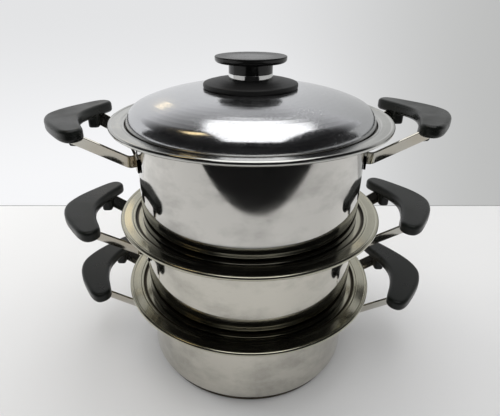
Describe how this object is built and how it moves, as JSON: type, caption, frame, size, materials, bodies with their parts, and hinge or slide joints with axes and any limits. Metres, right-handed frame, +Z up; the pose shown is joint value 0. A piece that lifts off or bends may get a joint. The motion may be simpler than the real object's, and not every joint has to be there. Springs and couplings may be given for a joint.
{
  "type": "stacked casserole set",
  "caption": "Stack of shallow round steel casseroles nested rim on base, with black side grips and a domed lid with a black disc knob.",
  "frame": {"origin": "centre of the bottom pot's foot, on the surface it stands on", "axes": "+Z up along the common axis of the pots and the lid; +X towards the bottom pot's right-hand handle"},
  "size_m": [0.362, 0.25, 0.302],
  "materials": {
    "polished_steel": "mirror polished stainless steel",
    "base_steel": "polished stainless steel",
    "core_aluminium": "plain, sealed inside the base",
    "strap_steel": "rolled strip, lightly polished",
    "screw_steel": "plain steel",
    "band_steel": "polished",
    "black_plastic": "moulded thermoset, satin",
    "knob_base_plastic": "moulded thermoset, matt",
    "knob_plastic": "moulded thermoset, glossy"
  },
  "bodies": {
    "bottom_pot": {"bottom_pot_shell": "polished_steel", "bottom_pot_base_cap": "base_steel", "bottom_pot_base_core": "core_aluminium", "bottom_pot_right_strap": "strap_steel", "bottom_pot_left_strap": "strap_steel", "bottom_pot_right_grip": "black_plastic", "bottom_pot_left_grip": "black_plastic", "bottom_pot_grip_screws": "screw_steel"},
    "middle_pot": {"middle_pot_shell": "polished_steel", "middle_pot_base_cap": "base_steel", "middle_pot_base_core": "core_aluminium", "middle_pot_right_strap": "strap_steel", "middle_pot_left_strap": "strap_steel", "middle_pot_right_grip": "black_plastic", "middle_pot_left_grip": "black_plastic", "middle_pot_grip_screws": "screw_steel"},
    "top_pot": {"top_pot_shell": "polished_steel", "top_pot_base_cap": "base_steel", "top_pot_base_core": "core_aluminium", "top_pot_right_strap": "strap_steel", "top_pot_left_strap": "strap_steel", "top_pot_right_grip": "black_plastic", "top_pot_left_grip": "black_plastic", "top_pot_grip_screws": "screw_steel"},
    "lid": {"lid_shell": "polished_steel", "knob_base": "knob_base_plastic", "knob_band": "band_steel", "knob_grip": "knob_plastic", "knob_washer": "screw_steel", "knob_screw": "screw_steel"}
  },
  "joints": [
    {"name": "middle_pot_lift", "type": "slide", "parent": "bottom_pot", "child": "middle_pot", "axis": [0, 0, 1], "range_m": [0, 0.1]},
    {"name": "top_pot_lift", "type": "slide", "parent": "middle_pot", "child": "top_pot", "axis": [0, 0, 1], "range_m": [0, 0.1]},
    {"name": "lid_lift", "type": "slide", "parent": "top_pot", "child": "lid", "axis": [0, 0, 1], "range_m": [0, 0.1]}
  ]
}
